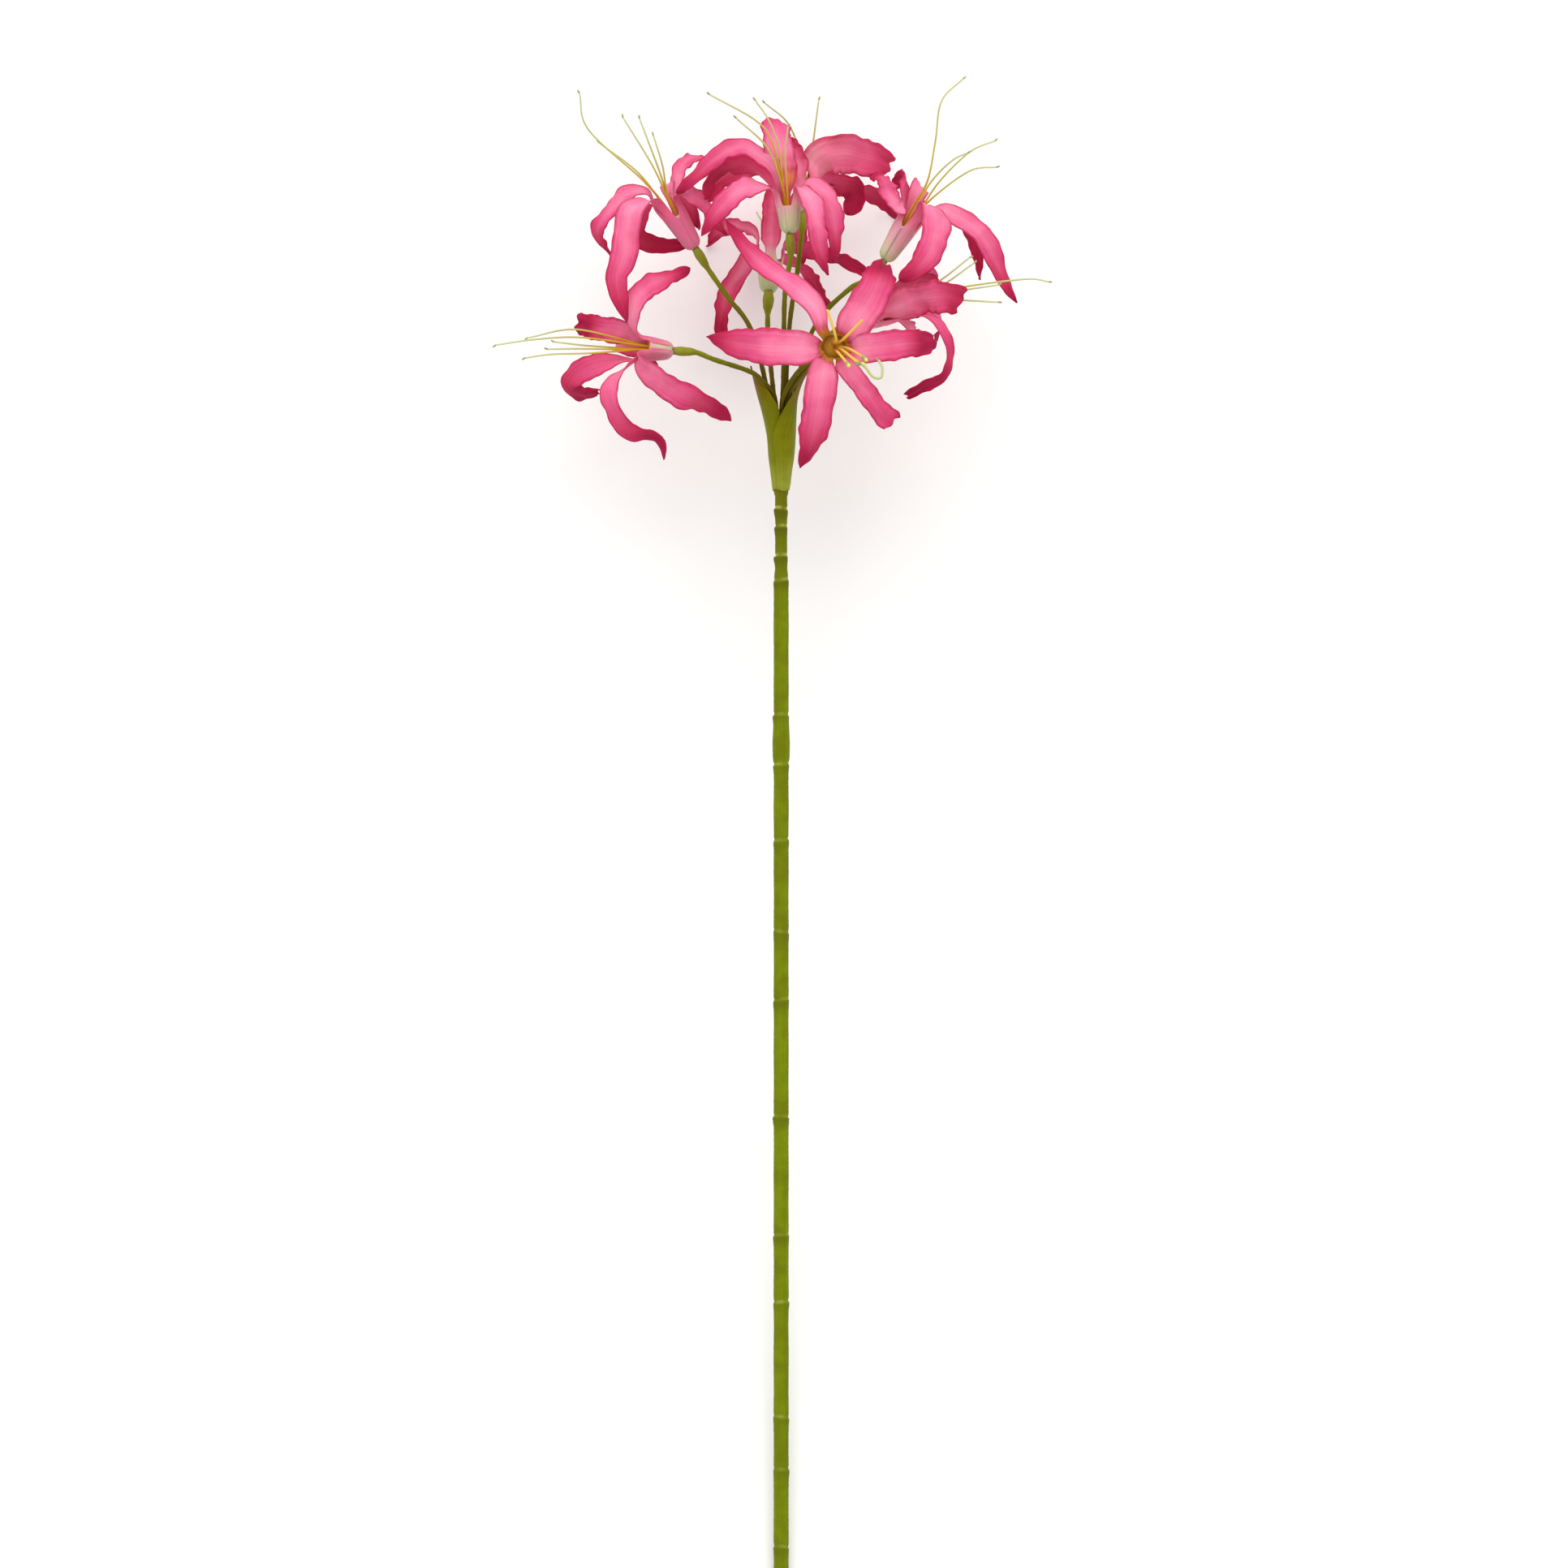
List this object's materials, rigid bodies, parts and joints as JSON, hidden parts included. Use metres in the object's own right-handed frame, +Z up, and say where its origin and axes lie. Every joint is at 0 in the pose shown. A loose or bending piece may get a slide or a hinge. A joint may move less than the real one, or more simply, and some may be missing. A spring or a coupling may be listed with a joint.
{
  "type": "nerine flower stem",
  "caption": "Cut artificial nerine stem lying on its side: a long sheathed green stem, two spathe bracts and an umbel of pink florets with narrow recurved tepals and long stamens.",
  "frame": {"origin": "centre of the bottom of the bounding box, on the surface that the stem lies on", "axes": "+Y along the lying stem from the cut end to the bloom, +Z up from the surface, +X to the right seen from above with the bloom at the top"},
  "size_m": [0.2726, 0.7444, 0.152],
  "materials": {
    "stem_green": "olive green wrapped plastic, satin, darker at the sheath joints",
    "spathe_green": "thin light green plastic with faint long veins, browner towards the tips",
    "pedicel_green": "olive green coated wire, browner at the root",
    "tepal_pink": "printed polyester cloth, light pink at the mouth, deep crimson at edges and undersides, pale greenish white tube",
    "stamen_yellow": "pale yellow green moulded plastic, orange yellow at the root, grey green anthers"
  },
  "bodies": {
    "root": {"stem": "stem_green", "spathe_left": "spathe_green", "spathe_right": "spathe_green", "low_left_tepals": "tepal_pink", "low_left_stamens": "stamen_yellow", "low_left_pedicel": "pedicel_green", "upper_left_tepals": "tepal_pink", "upper_left_stamens": "stamen_yellow", "upper_left_pedicel": "pedicel_green", "top_tepals": "tepal_pink", "top_stamens": "stamen_yellow", "top_pedicel": "pedicel_green", "rear_low_tepals": "tepal_pink", "rear_low_stamens": "stamen_yellow", "rear_low_pedicel": "pedicel_green", "upper_right_tepals": "tepal_pink", "upper_right_stamens": "stamen_yellow", "upper_right_pedicel": "pedicel_green", "right_tepals": "tepal_pink", "right_stamens": "stamen_yellow", "right_pedicel": "pedicel_green", "front_tepals": "tepal_pink", "front_stamens": "stamen_yellow", "front_pedicel": "pedicel_green", "rear_high_tepals": "tepal_pink", "rear_high_stamens": "stamen_yellow", "rear_high_pedicel": "pedicel_green"}
  },
  "joints": []
}
